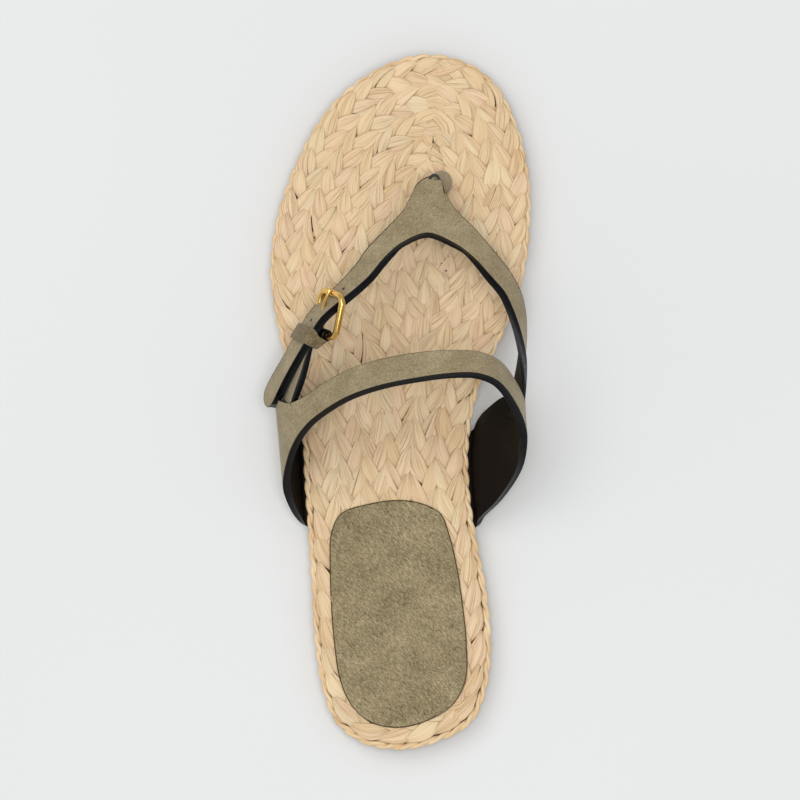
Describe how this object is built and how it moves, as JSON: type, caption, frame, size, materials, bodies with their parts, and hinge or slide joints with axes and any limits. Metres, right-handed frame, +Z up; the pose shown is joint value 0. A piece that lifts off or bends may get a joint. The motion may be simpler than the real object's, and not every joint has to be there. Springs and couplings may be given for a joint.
{
  "type": "woven flip-flop",
  "caption": "Flat woven thong sandal for the left foot: plaited raffia footbed, suede instep band, V-shaped thong strap round the first toe gap and a side buckle.",
  "frame": {"origin": "on the floor, under the middle of the sole's length and on the sole's centre line", "axes": "+Y from heel to toe, +X towards the inner side of the foot (big toe), +Z up"},
  "size_m": [0.0978, 0.256, 0.0608],
  "materials": {
    "sole": "matte, brown, fine tread",
    "raffia_side": "raffia strands wound level round the side",
    "raffia": "flat plaited raffia, slight sheen on the strands",
    "raffia_cord": "raffia cord twisted from two strands",
    "suede": "taupe suede with short nap, dark smooth lining and black painted edges",
    "brass": "polished"
  },
  "bodies": {
    "root": {"outsole": "sole", "midsole": "raffia_side", "footbed": "raffia", "rim_cord": "raffia_cord", "heel_pad": "suede", "upper": "suede", "keeper": "suede", "buckle_frame": "brass", "buckle_prong": "brass"}
  },
  "joints": []
}
